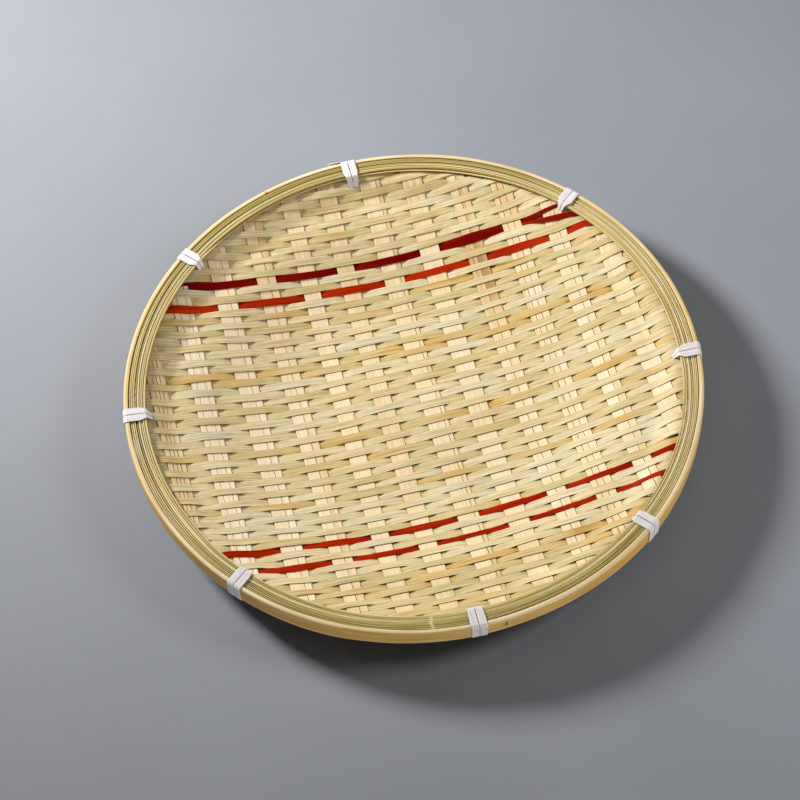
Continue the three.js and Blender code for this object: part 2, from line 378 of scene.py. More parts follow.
# The dark brown last stop of each ramp serves the painted shade on a splint's sides and where a weft dives.
warp_bamboo = split_bamboo("pale_split_bamboo", [
    (0.0, "F7F0E0"), (0.25, "F5E9D2"), (0.5, "EEDCBA"), (0.75, "D6BA8A"), (1.0, "6E440E"),
], shade="E0CEA8", fibre_depth=0.02)
weft_bamboo = split_bamboo("straw_split_bamboo", [
    (0.0, "DCD5BD"), (0.2, "E1D7B2"), (0.38, "DECEA8"), (0.54, "D0C698"),
    (0.7, "D6C08E"), (0.84, "D6B46E"), (1.0, "653B08"),
], streak_width=2.4, shade="B8A67C", shade_share=0.5)
print("bamboo for the weave:", warp_bamboo.name, weft_bamboo.name)

# %% [markdown]
# ## The dish
#
# The weave isn't flat. It is level in the middle and climbs in an S-shaped curve. Just inside the rim its
# edge turns up once more, where it is pulled in between the hoops. Each splint follows that surface, and a
# height on a splint is measured square to it.

# %% The dish's surface
weave_radius = 111.1
floor_radius = 30
steepest_radius = 80
floor_level = 0.6
edge_level = 14.75
turn_up, turn_up_start, turn_up_run = 3.8, 95, 12


def climb(value, start, run):
    """0 up to a start, then an even climb to 1 over a run."""
    return np.clip((value - start) / run, 0, 1)


def dish(radius):
    """The height of the dish's middle surface and its slope, at a distance from the centre."""
    steepest = 2 * (edge_level - floor_level) / (weave_radius - floor_radius)
    run = np.clip(radius - floor_radius, 0, steepest_radius - floor_radius)
    left = np.clip(weave_radius - radius, 0, weave_radius - steepest_radius)
    inner_slope = steepest * run / (steepest_radius - floor_radius)
    outer_slope = steepest * left / (weave_radius - steepest_radius)
    inside = radius < steepest_radius
    height = np.where(inside, floor_level + inner_slope * run / 2, edge_level - outer_slope * left / 2)
    share = climb(radius, turn_up_start, turn_up_run)
    height = height + turn_up * smooth(share)
    edge_slope = turn_up / turn_up_run * 6 * share * (1 - share)
    return height, np.where(inside, inner_slope, outer_slope) + edge_slope


def above_dish(x, y, height):
    """Points at a height above the dish, as an array that ends in x, y, z."""
    radius = np.maximum(np.hypot(x, y), 1e-6)
    level, slope = dish(radius)
    tilt = np.hypot(1, slope)
    outward = -slope * height / (tilt * radius)
    return np.stack([x + x * outward, y + y * outward, level + height / tilt], axis=-1)


def painted_light_and_shade(x, y):
    """Painted shade and light: how much browner a splint is made towards the rim, at the far side and in front,
    and how much paler at the left.
    """
    outward, left = climb(np.hypot(x, y), 40, 60), climb(-x, 30, 70)
    return 0.06 * outward + 0.1 * climb(y, 45, 50) + 0.13 * climb(-y, 70, 35) - 0.06 * left


print("dish, mm deep:", round(float(dish(np.array(weave_radius))[0]) - floor_level, 2))

# %% [markdown]
# ## How the rim wanders
#
# A rim bent by hand isn't a true ring. It rises a little at the front, its outer hoop reaches lower in some
# places than in others, and the band of strips inside it is narrower at the front than at the sides. Each
# of these is a curve round the rim, given at a few angles and smooth between them. Angles run
# anticlockwise from the right, so 270 degrees is the front.

# %% Curves round the rim
def round_rim(*stops):
    """A smooth curve through [degrees, mm] stops, as a function of the angle in degrees."""
    degrees, values = np.array(stops, float).T
    degrees, values = np.append(degrees, degrees[0] + 360), np.append(values, values[0])

    def value(angle):
        at = degrees[0] + (np.asarray(angle, float) - degrees[0]) % 360
        return eased(values, np.interp(at, degrees, np.arange(len(degrees))))

    return value


rim_rise = round_rim((30, 0), (180, 0), (215, -0.1), (238, -0.3), (256, 0.1), (268, 0.3), (278, 0.5),
                     (292, 0.3), (310, -0.3), (335, -0.1))
hoop_bottom = round_rim((30, 12.9), (180, 12.9), (215, 12.3), (238, 12.0), (250, 13.0), (262, 13.5),
                        (276, 14.2), (290, 13.8), (300, 12.8), (310, 11.7), (330, 12.3))
band_inside = round_rim((0, 106.3), (40, 106.6), (90, 106.5), (135, 106.4), (203, 106.3), (215, 107.1),
                        (245, 107.3), (270, 107.0), (300, 107.3), (330, 107.2), (345, 106.7), (354, 106.3))
hoop_top = 20.85
hoop_inside, hoop_outside = 113.0, 114.9
weave_top, beside_weave = 19.3, 14.3  # where strips end on the weave's edge, and outside it
print("rim band, mm wide at the right:", round(hoop_inside - float(band_inside(0)), 1))

# %% [markdown]
# ## The section of a splint
#
# A splint is a flat rectangle with its edges just broken by scraping, and a very slight crown from drying.
# A narrow face beside each edge keeps the top flat in the light right up to the edge, as on the real one.

# %% Section of a splint
def splint_section(width, thickness, rounding=0.05, crown=0.02):
    """Offsets across and above the middle, for an array of widths, one for each station."""
    half = width / 2
    level = np.full_like(half, thickness / 2)
    flat, side, none = half - rounding, level - rounding, np.zeros_like(half)
    near = flat - 2 * rounding
    across = [flat, near, none, -near, -flat, -half, -half, -flat, none, flat, half, half]
    height = [level, level, level + crown, level, level, side, -side, -level, -level, -level, -side, side]
    return np.stack(across, axis=1), np.stack(height, axis=1)


# A splint's sides, seen in the crevices of the weave, are painted dark brown as shade. Its faces keep its tone.
side_shade_tone = np.array([0, 0, 0, 0, 0, 1, 1, 0, 0, 0, 1, 1])
# Where a weft dives under a warp, shade is painted brown on its top beside its neighbours, not in its middle.
dip_shade_share = np.array([1, 0.72, 0, 0.72, 1, 0, 0, 0, 0, 0, 0, 0])
dip_shade_tone = 1.08
print("points round a splint:", len(side_shade_tone))

# %% [markdown]
# ## The holes for the straps
#
# The straps slant down through the weave just inside the rim, where the real splints are pried apart. Here
# Blender's Boolean modifier cuts small blocks in the straps' places out of the splints that they meet,
# which leaves the same small dark openings beside each strap.

# %% Blocks that cut the holes
binding_angles = [40, 90, 132, 174, 220, 268, 308, 351]
entry_widths = [0.8, 1.9, 1.2, 1.3, 2.1, 2.6, 2.0, 0.7]
strap_slants = dict(zip(binding_angles, [2.2, 3.3, 1.6, 2.7, 1.2, 1.2, 1.2, 2.7]))
strap_thickness = 0.35
strap_top, strap_low = 20.9, 16.7
under_band = 0.15  # mm from the band to the strap, where the strap leaves the rim
hole_sides, hole_inward, hole_outward = 0.15, 0.15, 0.1
hole_low, hole_high = 14, 19.2
hole_radius, hole_reach = 105, 5


def strap_radius(angle, height):
    """Where the inner face of a strap is, at a height on its slanting way down."""
    inward = strap_slants[angle] * (strap_top - height) / (strap_top - strap_low)
    return float(band_inside(angle)) - under_band - inward


block_points, block_faces = [], []
for angle, width in zip(binding_angles, entry_widths):
    turned = Matrix.Rotation(math.radians(angle), 3, "Z")
    half = width + hole_sides
    first = len(block_points)
    for inward in (strap_thickness + hole_inward, -hole_outward):
        for side in (-half, half):
            for height in (hole_low, hole_high):
                corner = Vector((strap_radius(angle, height) - inward, side, height))
                block_points.append(turned @ corner * MM)
    for face in ((0, 1, 3, 2), (4, 6, 7, 5), (0, 4, 5, 1), (2, 3, 7, 6), (0, 2, 6, 4), (1, 5, 7, 3)):
        block_faces.append([first + corner for corner in face])
block_mesh = bpy.data.meshes.new("hole_blocks")
block_mesh.from_pydata(block_points, [], block_faces)
hole_blocks = bpy.data.objects.new("hole_blocks", block_mesh)
bpy.context.scene.collection.objects.link(hole_blocks)
hole_turns = np.radians(binding_angles)
hole_places = hole_radius * np.stack([np.cos(hole_turns), np.sin(hole_turns)], axis=1)


def pierce(piece):
    """Cuts the strap holes that this splint meets. A splint that is far from all of them is left as it is."""
    points = np.array([vertex.co[:2] for vertex in piece.data.vertices]) / MM
    if min(np.hypot(*(points - hole).T).min() for hole in hole_places) > hole_reach:
        return
    cut = piece.modifiers.new("strap_holes", "BOOLEAN")
    cut.object = hole_blocks
    cut.solver = "EXACT"
    evaluated = piece.evaluated_get(bpy.context.evaluated_depsgraph_get())
    mesh = bpy.data.meshes.new_from_object(evaluated)
    piece.modifiers.clear()
    mesh.name = piece.name
    piece.data = mesh


print("strap holes to cut:", len(binding_angles))

# %% [markdown]
# ## The warps
#
# Twelve wide splints lie nearly flat, and show as rows of pale blocks between the wefts. Each has a width
# of its own and lies up to 1.6 mm to one side of an even spacing. Some have split along the fibre, into two
# to four strands side by side, and those from nearer the culm's skin are browner. The ninth from the left
# has a brown stain towards the far side.

# %% Warps
warp_count = 12
warp_thickness = 0.26
left_warp_inset, right_warp_inset = 11.8, 17
warp_pitch = (2 * weave_radius - left_warp_inset - right_warp_inset) / (warp_count - 1)
warp_shifts = np.array([0.8, 0.0, 1.0, 1.5, 0.9, -0.1, 1.0, 1.0, 1.6, 1.2, 0.7, 0.5])
warp_widths = [7.0, 8.0, 8.4, 8.0, 7.0, 7.2, 8.6, 8.2, 7.6, 8.0, 7.6, 7.6]
warp_middles = left_warp_inset - weave_radius + warp_pitch * np.arange(warp_count) + warp_shifts
warp_tones = [0.55, 0.2, 0.26, 0.46, 0.36, 0.45, 0.46, 0.42, 0.46, 0.42, 0.46, 0.42]
warp_play = 0.3  # mm that a warp leaves free beside it, at its ends
warp_lift = 0.02  # mm that a warp rises over a weft and dips under the next
darkest_warp, warp_step = 0.85, 0.8  # its tone at most, and mm between stations
stained_warp = 8
stain_middle, stain_spread, stain_tone = 52, 24, 0.35
strand_shares = {
    0: (0.3, 0.22, 0.2, 0.28), 1: (0.3, 0.45, 0.25), 2: (0.67, 0.33), 3: (0.6, 0.4), 6: (0.8, 0.2),
    8: (0.5, 0.5), 9: (0.3, 0.32, 0.38), 10: (0.62, 0.38),
}
strand_gap = 0.14
row_pitch = 3.2455
first_row = 108.3

for index, centre in enumerate(warp_middles):
    shares = strand_shares.get(index, (1,))
    gap = strand_gap if len(shares) > 1 else 0
    corner = abs(centre) + warp_widths[index] / 2 + warp_play
    end = math.sqrt(weave_radius ** 2 - corner ** 2)
    along = np.linspace(-end, end, max(12, int(end / warp_step)))
    lean = wander(along, 45, 0.3)
    start = centre - warp_widths[index] / 2
    for strand, share in enumerate(shares):
        room = warp_widths[index] * share
        middle = start + room / 2 + lean
        start += room
        width = room - gap + wander(along, 30, 0.05)
        across, height = splint_section(width, warp_thickness)
        x = middle[:, None] - across
        rise = warp_lift * np.cos(np.pi * ((first_row - along) / row_pitch + index)) + wander(along, 25, 0.02)
        rings = above_dish(x, along[:, None], height + rise[:, None])
        tone = warp_tones[index] + chance.uniform(-0.1, 0.1) + wander(along, 14, 0.1)
        # Painted shade towards the rim, at the far side and in front, and painted light at the left.
        tone += painted_light_and_shade(centre, along)
        if index == stained_warp:
            tone += stain_tone * np.exp(-((along - stain_middle) / stain_spread) ** 2)
        letter = "abcd"[strand] if len(shares) > 1 else ""
        # The sides get dark brown painted shade.
        tone = np.minimum(tone, darkest_warp)[:, None] + side_shade_tone
        piece = sweep(f"warp_splint_{index + 1:02d}{letter}", rings, along + end, tone, warp_bamboo)
        pierce(piece)
        belongs(piece, "warp_bamboo", f"warp_{index + 1:02d}")
print("warps:", warp_count, "pitch, mm:", round(warp_pitch, 2))

# %% [markdown]
# ## The wefts
#
# Sixty-seven narrow splints are packed side by side. Each goes over one warp and under the next, and its
# neighbours do the opposite. The line between two neighbours is worked out first, and both take their edge
# from it, so they never run into each other. Only where a splint dives under a warp has it room to spread
# past the line, under the neighbours that rise there.
#
# The rows were beaten together by hand, so groups of them lie closer or wider apart and lean a little, and
# each line wanders. The dyed splints are wider over some warps than over others.

# %% Lines between the wefts
row_count = 67
red_rows = {12: "red_weft_1", 15: "red_weft_2", 51: "red_weft_3", 54: "red_weft_4"}
red_squeeze = {12: 0.0, 15: 0.05, 51: 0.3, 54: 0.3}  # mm that it is wider at each edge
weft_thickness = 0.26
wave_height, wave_depth = 0.31, 0.4

seam_step = 15
seam_steps = np.arange(-120, 121, seam_step)
seam_wander = chance.uniform(-0.36, 0.36, (row_count + 1, len(seam_steps)))
red_calm = 0.4  # share of that wander which the lines beside a dyed splint keep
seam_level = first_row + row_pitch / 2 - row_pitch * np.arange(row_count + 1)


def rounded_off(values):
    """Values at even steps with their corners rounded off: each is the mean of seven."""
    return np.convolve(np.pad(values, 3, mode="edge"), np.full(7, 1 / 7), mode="valid")


# How far each row is beaten away from its even place: 0 is the farthest row.
row_places = np.arange(row_count + 1) - 0.5
drift = np.interp(row_places, [0, 3, 6, 10, 14, 18, 25, 33, 41, 50, 60, 63, 66],
                  [-2.6, -2.1, -1.7, 0.1, 0.9, 1.2, 1.9, 1.3, -1.5, -0.6, -1.2, -1.3, -1.9])
seam_level += rounded_off(drift)
seam_lean = np.interp(row_places, [12, 20, 28, 36, 44, 54], [-0.65, -0.9, 1.2, 1.3, 1.1, 0.8]) / 80
for row, squeeze in red_squeeze.items():
    seam_level[row] -= squeeze
    seam_level[row + 1] += squeeze
    seam_wander[row:row + 2] *= red_calm
# How many mm wider a dyed splint is over each warp, from left to right.
red_spread = {
    12: [0, 0, 0.55, 0, 0.2, 0, 0.4, 0, 1.3, 0, 0, 0],
    15: [0, 0.8, 0, 0.25, 0, 0.2, 0, 0, 0, 0.5, 0, 0],
    51: [0, 0.9, 0, 0.5, 0, 0.5, 0, 0.4, 0, 0.1, 0, -0.2],
    54: [0, 0, 0.7, 0, 0, 0, -0.4, 0, -0.1, 0, -0.8, 0],
}
# The rows about the second dyed one hang towards the front at both ends.
sag_share = np.interp(np.arange(row_count + 1), [12, 15, 16, 20], [0, 1, 1, 0])
sag_places, sag_depths = [-100, -60, -20, 30, 60, 95], [-1.3, -0.9, 0, -0.2, -1.2, -2.1]


def seam(row, x):
    """The line between a row and the one before it, at places along the row."""
    wandered = eased(seam_wander[row], (x - seam_steps[0]) / seam_step)
    sag = sag_share[row] * np.interp(x, sag_places, sag_depths)
    spread = sum(side * np.interp(x, warp_middles, red_spread[red]) / 2
                 for red, side in ((row, 1), (row - 1, -1)) if red in red_spread)
    return seam_level[row] + seam_lean[row] * x + wandered + sag + spread


# One more place at each end lets the wave go on to the rim.
wave_middles = np.concatenate([[warp_middles[0] - warp_pitch], warp_middles, [warp_middles[-1] + warp_pitch]])
level_run, turn_run = 0.15, 0.7


def wave(row, x):
    """Plus 1 over a warp, minus 1 under the next, and level with its neighbours midway between them."""
    warp = np.interp(x, wave_middles, np.arange(-1, warp_count + 1))
    turn = np.cos(np.pi * (warp + row))
    return np.sign(turn) * smooth(climb(np.abs(turn), level_run, turn_run))


node_of_row = dict(red_rows)
for name in frame["nodes"]:
    if name.startswith("wefts_"):
        first, last = (int(part) for part in name.split("_")[1:])
        node_of_row.update({row: name for row in range(first - 1, last)})
print("rows:", len(node_of_row))

# %% [markdown]
# ## Dyed bamboo
#
# Dye soaks into bare bamboo, so the fibres stay visible under it: a deep red where it is thick, and nearer
# to orange where the splint took less. It dries a little smoother, and hardly any gloss shows on it.

# %% Dyed bamboo
red_bamboo = split_bamboo("red_dyed_bamboo", [
    (0.0, "700400"), (0.3, "921000"), (0.65, "B42A04"), (1.0, "CB480E"),
], streak_pull=0.15, shade="A05840", roughness=(0.5, 0.66), gloss=0.02)
red_tones = {12: 0.05, 15: 0.6, 51: 0.45, 54: 0.55}
print("dyed:", red_bamboo.name)

# %% [markdown]
# ## Each weft in its row
#
# Most wefts are straw or green-straw, and take their tone by chance. A few stand out: honey-coloured ones
# from beside the skin, and grey-white ones from the culm's inside. Where a weft dives under a warp, shade is
# painted brown on its top beside its neighbours, and less of it at the left and far side.

# %% Wefts
palette = [0.1, 0.2, 0.3, 0.4, 0.5, 0.6]
plain_tones = chance.choice(palette, row_count, p=[0.12, 0.22, 0.24, 0.2, 0.14, 0.08])
honey_rows, white_rows = (17, 25, 26, 36, 44), (5, 13, 23, 33, 46, 48, 52)
plain_tones[list(honey_rows)] = 0.68
plain_tones[list(white_rows)] = 0.04
split_row = 12  # this dyed one is narrower at its right end, where a strand has split off
weft_play = 0.5  # mm that a weft leaves free beside it, at its ends
level_gap, lifted_gap = 0.015, 0.045  # mm from an edge to its line, and how much more over a warp
tucked_from, tucked_spread = 0.55, 0.35  # below this share of the wave it spreads, by so many mm
dip_shade_from, dip_shade_run = 0.3, 0.6  # from this share of the wave down, over this run, shade is painted brown on its edges
less_shade_share = 0.6  # and by so much less at the left and far side
darkest_weft, weft_step = 0.82, 0.55  # its tone at most, and mm between stations

for row in range(row_count):
    red = row in red_rows
    row_middle = (seam_level[row] + seam_level[row + 1]) / 2
    corner = abs(row_middle) + row_pitch / 2 + weft_play
    end = math.sqrt(max(0, weave_radius ** 2 - corner ** 2))
    along = np.linspace(-end, end, max(12, int(end / weft_step)))
    height_share = wave(row, along)
    under = climb(-height_share, tucked_from, 1 - tucked_from)
    side_gap = level_gap + lifted_gap * height_share ** 4 - tucked_spread * smooth(under)
    far_edge = seam(row, along) - side_gap
    near_edge = seam(row + 1, along) + side_gap
    if row == split_row:
        near_edge += np.interp(along, [54, 59, 72, 80], [0, 1.75, 1.65, 1.95])
    across, height = splint_section(far_edge - near_edge, weft_thickness)
    y = (far_edge + near_edge)[:, None] / 2 + across
    tilt = wander(along, 25, 0.03)[:, None] * across
    rise = np.where(height_share > 0, wave_height, wave_depth) * height_share + wander(along, 12, 0.02)
    rings = above_dish(along[:, None], y, height + tilt + rise[:, None])
    patches = 0.12 if red else 0.2 if row in honey_rows else 0.16
    tone = ((red_tones[row] if red else plain_tones[row]) + wander(along, 14, patches))[:, None]
    if not red:
        # Painted shade towards the rim, at the far side and in front, and painted light at the left.
        tone = np.minimum(tone + painted_light_and_shade(along, row_middle)[:, None], darkest_weft)
        # Painted shade: where a weft dives under a warp its top turns brown beside its neighbours, less at the
        # left and far side.
        less_shade_area = np.maximum(climb(-along, 20, 50), climb(row_middle, 30, 50))
        dip_shade = climb(-height_share, dip_shade_from, dip_shade_run) * (1 - less_shade_share * less_shade_area)
        tone = tone + dip_shade[:, None] * dip_shade_share * (dip_shade_tone - tone) + side_shade_tone
    material = red_bamboo if red else weft_bamboo
    piece = sweep(f"{'red_' if red else ''}weft_splint_{row + 1:02d}", rings, along + end, tone, material)
    pierce(piece)
    belongs(piece, "red_dyed_bamboo" if red else "weft_bamboo", node_of_row[row])
bpy.data.objects.remove(hole_blocks)
print("wefts:", row_count, "pitch, mm:", row_pitch)

# %% [markdown]
# ## The hoops
#
# The rim's hoops and strips are long splints bent into rings, on edge. Each is a small section carried
# round the tray, between an inside, an outside, a bottom and a top that are curves round the rim. The
# section's points carry a tone too, because a strip's edges show the culm's pale inside and its faces show
# the skin. A mark, such as the joint of the culm, changes the tone at one angle.

# %% Ring helper
joint_angle, front_knot, far_knot = 259.4, 273.4, 108.7
mark_spread = np.array([-0.6, -0.4, -0.2, 0, 0.2, 0.4, 0.6])
mark_half = 0.3  # degrees to each side of a mark
mark_degrees = [angle + mark_spread for angle in (joint_angle, front_knot, far_knot)]
ring_degrees = np.unique(np.concatenate([np.arange(0, 360, 0.75)] + mark_degrees))
ring_angles = np.radians(ring_degrees)
grain_radius = 110
ring_travel = ring_angles * grain_radius


def ring_wander(step, amount):
    """A slow random change round the rim, in mm."""
    return wander(ring_travel, step, amount, ring=True)


def placed(radius, sideways, height, angle):
    """Points at a radius and a height, and so far to one side, turned to an angle round the tray."""
    c, s = np.cos(angle), np.sin(angle)
    return np.stack([radius * c - sideways * s, radius * s + sideways * c, height], axis=-1)


def ring(name, section, inside, outside, bottom, top, material, tone_wander=0.12, tone_change=0, marks=()):
    """A hoop from [share outward, share up, tone] points, clockwise from the inner top corner.

    A mark is its angle, its first point, the point after its last, and its change of tone.
    """
    share_out, share_up, tone = np.array(section, float).T
    limits = (inside, outside, bottom, top)
    inside, outside, bottom, top = (np.broadcast_to(limit, ring_travel.shape)[:, None] for limit in limits)
    radius = inside + (outside - inside) * share_out
    height = bottom + (top - bottom) * share_up
    tone = tone + ring_wander(60, tone_wander)[:, None] + tone_change
    for degrees, first, last, change in marks:
        tone[np.abs(ring_degrees - degrees) < mark_half, first:last] += change
    rings = placed(radius, 0, height, ring_angles[:, None])
    return sweep(name, rings, np.append(ring_travel, 2 * np.pi * grain_radius), tone, material, closed=True)


print("stations round the rim:", len(ring_degrees))

# %% [markdown]
# ## The outer hoop
#
# The outer hoop is the tray's strongest piece: a thick strip, planed and sanded, golden on its face where
# the culm's skin was taken off, and cream along its rounded edges. Its top is a little browner round the
# far side. It has a small dark knot in front, and an orange one on its top edge at the far side.

# %% Outer hoop
hoop_bamboo = split_bamboo("planed_golden_bamboo", [
    (0.0, "EFE4C4"), (0.2, "E2D0AA"), (0.35, "DEC78E"), (0.5, "DDBC78"), (0.75, "D0A85A"), (1.0, "8E6A34"),
], fibre_width=0.8, streak_width=3, shade="C9A66C", shade_share=0.35, roughness=(0.42, 0.58), fibre_depth=0.02)
rise = rim_rise(ring_degrees)
# How much of the top is planed to cream: least in front at the left, and all of it beside the front strap.
wide_cream = round_rim((30, 0.6), (110, 0.7), (150, 0.95), (210, 0.9), (235, 0.5), (250, 0.1), (264, 0.1),
                       (274, 1), (300, 0.8), (330, 0.6))
cream_points = np.array([0, 0, 0.1, 0.4, 0.45, 0.3] + [0] * 10)
dull_top = round_rim((0, 0.15), (50, 0.18), (80, 0.22), (150, 0.2), (190, 0.16), (215, 0.05), (300, 0),
                     (335, 0.05))
dull_points = np.array([0.9, 1, 0.8, 0.7, 0.5, 0.3] + [0] * 10)
top_tone = (1 - wide_cream(ring_degrees))[:, None] * cream_points
top_tone = top_tone + dull_top(ring_degrees)[:, None] * dull_points
outer_hoop = ring("outer_hoop_strip", [
    [0.0, 0.97, 0.35], [0.1, 0.995, 0.1], [0.45, 1.0, 0.0], [0.72, 0.985, 0.02], [0.9, 0.955, 0.15],
    [0.98, 0.91, 0.4], [1.0, 0.84, 0.6], [1.0, 0.7, 0.68], [1.0, 0.45, 0.7], [1.0, 0.22, 0.62],
    [1.0, 0.13, 0.4], [0.93, 0.05, 0.25], [0.72, 0.0, 0.25], [0.1, 0.0, 0.4], [0.0, 0.03, 0.6], [0.0, 0.5, 0.7],
], hoop_inside + ring_wander(40, 0.08), hoop_outside + ring_wander(50, 0.05), hoop_bottom(ring_degrees),
    hoop_top + rise, hoop_bamboo, tone_change=top_tone, marks=[(front_knot, 7, 9, 0.45), (far_knot, 0, 3, 0.6)])
belongs(outer_hoop, "outer_hoop_bamboo", "outer_hoop")
print("outer hoop, mm thick:", round(hoop_outside - hoop_inside, 1))

# %% [markdown]
# ## The green strips
#
# Between the hoops stand thin strips on edge, with the culm's skin still on their outer faces, green at
# the front and the far side and dried to olive and brown elsewhere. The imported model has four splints
# there, and seven finer strips take their place. Two neighbours share a line, as the wefts do, and most
# lines open into a dark gap at the sides. The two outermost strips go down beside the weave's edge and hide
# it, and the others end on top of it. At one place all of them cross a joint of the culm, and it shows as
# a pale, uneven line.

# %% Green strips
green_bamboo = split_bamboo("green_skin_bamboo", [
    (0.0, "EADDB4"), (0.25, "DCCB98"), (0.5, "C4B47C"), (0.75, "A49A5A"), (1.0, "6E6632"),
], fibre_width=0.35, streak_width=0.9, streak_pull=0.2, shade="A89A58", roughness=(0.45, 0.62))
strip_count = 7
outermost = 2  # strips that go down beside the weave
strip_top, narrowest_gap = 20.66, 0.015
greener = round_rim((0, -0.26), (30, -0.18), (60, 0.08), (95, 0.14), (130, 0.0), (170, -0.18), (205, -0.16),
                    (225, -0.02), (245, 0.08), (275, 0.08), (300, 0.02), (320, -0.22), (340, -0.26))
band_inner = band_inside(ring_degrees)
beside_hoop, usual_opening = 0.1, 0.2  # mm from the hoop to the first line, and between two strips
# How wide the lines open round the rim. Each line takes this by a share of its own.
loose = round_rim((0, 0.2), (60, 0.17), (100, 0.18), (130, 0.22), (180, 0.24), (215, 0.16), (245, 0.06),
                  (290, 0.04), (330, 0.14))
# In front, the outer hoop stands a little off the first strip.
front_opening = round_rim((262, 0), (276, 0.3), (297, 0.3), (312, 0))(ring_degrees)
strip_lines = []
for line in range(strip_count + 1):
    share = line / (strip_count + 1)
    middle = (hoop_inside - beside_hoop) * (1 - share) + band_inner * share + ring_wander(35, 0.05)
    opening = loose(ring_degrees) * chance.uniform(0.3, 2.2) + ring_wander(45, 0.03)
    if line == 0:
        middle -= front_opening / 2
        opening += front_opening
    opening = np.maximum(opening, narrowest_gap)
    strip_lines.append((middle + opening / 2, middle - opening / 2))

strip_section = [
    [0.0, 0.98, 0.3], [0.15, 1.0, 0.32], [0.8, 1.0, 0.5], [1.0, 0.98, 0.72],
    [1.0, 0.6, 0.8], [1.0, 0.0, 0.8], [0.0, 0.0, 0.4], [0.0, 0.6, 0.35],
]
for strip in range(strip_count):
    outside, inside = strip_lines[strip][1], strip_lines[strip + 1][0]
    lower = chance.uniform(-0.05, 0.4) * loose(ring_degrees) / usual_opening
    top = strip_top + rise - lower + ring_wander(70, 0.08)
    green = greener(ring_degrees)[:, None] + chance.uniform(-0.26, 0.2)
    joint = (joint_angle + chance.uniform(-0.15, 0.15), 0, len(strip_section), -0.6)
    bottom = beside_weave if strip < outermost else weave_top
    # Two strips stand for each packed splint, and one for the last.
    piece = ring(f"green_strip_{strip + 1}", strip_section, inside, outside, bottom, top,
                 green_bamboo, tone_wander=0.15, tone_change=green, marks=[joint])
    belongs(piece, "green_skin_bamboo", f"rim_splint_{strip // 2 + 1}")
print("strips:", strip_count)

# %% [markdown]
# ## The inner hoop
#
# The inner hoop is a thin pale strip that presses the weave's edge down. At the far side it sits a
# little lower than the strips behind it, so their green skin shows above it.

# %% Inner hoop
inner_bamboo = split_bamboo("thin_pale_bamboo", [
    (0.0, "E4D6AA"), (0.3, "D6C592"), (0.6, "BDAC70"), (0.8, "AE9858"), (1.0, "866E38"),
], streak_width=1.4, streak_pull=0.15, shade="C2AF78", roughness=(0.45, 0.62))
inner_top = 20.6
far_dip = round_rim((48, 0), (64, 0.8), (120, 0.8), (134, 0))
inner_hoop = ring("inner_hoop_strip", [
    [0.0, 0.965, 0.15], [0.15, 1.0, 0.1], [0.8, 1.0, 0.45], [1.0, 0.97, 0.7], [1.0, 0.5, 0.75],
    [1.0, 0.0, 0.8], [0.1, 0.0, 0.9], [0.0, 0.03, 0.8], [0.0, 0.3, 0.6], [0.0, 0.7, 0.45],
], band_inner, strip_lines[strip_count][1], weave_top, inner_top + rise - far_dip(ring_degrees), inner_bamboo)
belongs(inner_hoop, "inner_hoop_bamboo", "inner_hoop")
print("inner hoop, mm high:", round(inner_top - weave_top, 1))

# %% [markdown]
# ## The straps
#
# Each binding is two turns of a flat white plastic strap, pulled tight round the rim and slanting down
# through the weave. The strap is drawn polypropylene, a stiff and slightly waxy plastic: it stays white,
# shines softly, and lets a little light into its surface.

# %% Strap material
strap_plastic, tree, shader = new_material("white_polypropylene_strap")
# Drawn plastic: clean cool white, a soft sheen, and faint lines 0.4 mm apart where the ribs catch dust.
grain = add_node(tree, "UVMap", uv_map="Grain").outputs["UV"]
stretched = add_node(tree, "VectorMath", {0: grain, 1: (1 / 9, 1 / 0.4, 1)}, operation="MULTIPLY")
lines = add_node(tree, "TexNoise", {"Vector": stretched.outputs[0], "Scale": 1, "Detail": 2})
white = add_node(tree, "ValToRGB", {"Fac": lines.outputs["Fac"]}, stops=[(0.3, "CFCCD8"), (0.65, "E9E8F0")])
tree.links.new(white.outputs["Color"], shader.inputs["Base Color"])
sheen = add_node(tree, "MapRange", {"Value": lines.outputs["Fac"], "To Min": 0.38, "To Max": 0.55})
tree.links.new(sheen.outputs["Result"], shader.inputs["Roughness"])
shader.inputs["IOR"].default_value = 1.49
shader.inputs["Subsurface Weight"].default_value = 0.1
shader.inputs["Subsurface Radius"].default_value = (MM, MM, MM)
print("straps:", strap_plastic.name)

# %% [markdown]
# A strap goes round the rim in a loop with five corners: under the hoop, up its outside, over the top, and
# down inside. A bend modifier can't follow that, so the loop is worked out as points. The strap is stiff,
# so each corner is a small arc.

# %% Strap path
def unit(vector):
    """The same direction with a length of 1."""
    return vector / np.linalg.norm(vector)


def rounded_loop(corners, step=0.35):
    """A closed path through [a, b, radius] corners, each turned with a small arc, as even points."""
    corners = np.array(corners, float)
    neighbours = np.roll(corners, 1, axis=0), np.roll(corners, -1, axis=0)
    points = []
    for corner, before, after in zip(corners, *neighbours):
        here, radius = corner[:2], corner[2]
        into, out = unit(before[:2] - here), unit(after[:2] - here)
        half_turn = math.acos(np.clip(into @ out, -1, 1)) / 2
        reach = radius / math.tan(half_turn)
        middle = here + unit(into + out) * radius / math.sin(half_turn)
        first, last = here + into * reach - middle, here + out * reach - middle
        for share in np.linspace(0, 1, 7):
            points.append(middle + unit(first * (1 - share) + last * share) * radius)
    points.append(points[0])
    points = np.array(points)
    travel = np.concatenate([[0], np.cumsum(np.linalg.norm(np.diff(points, axis=0), axis=1))])
    even = np.linspace(0, travel[-1], int(travel[-1] / step), endpoint=False)
    return np.stack([np.interp(even, travel, points[:, i]) for i in (0, 1)], axis=1), even, travel[-1]


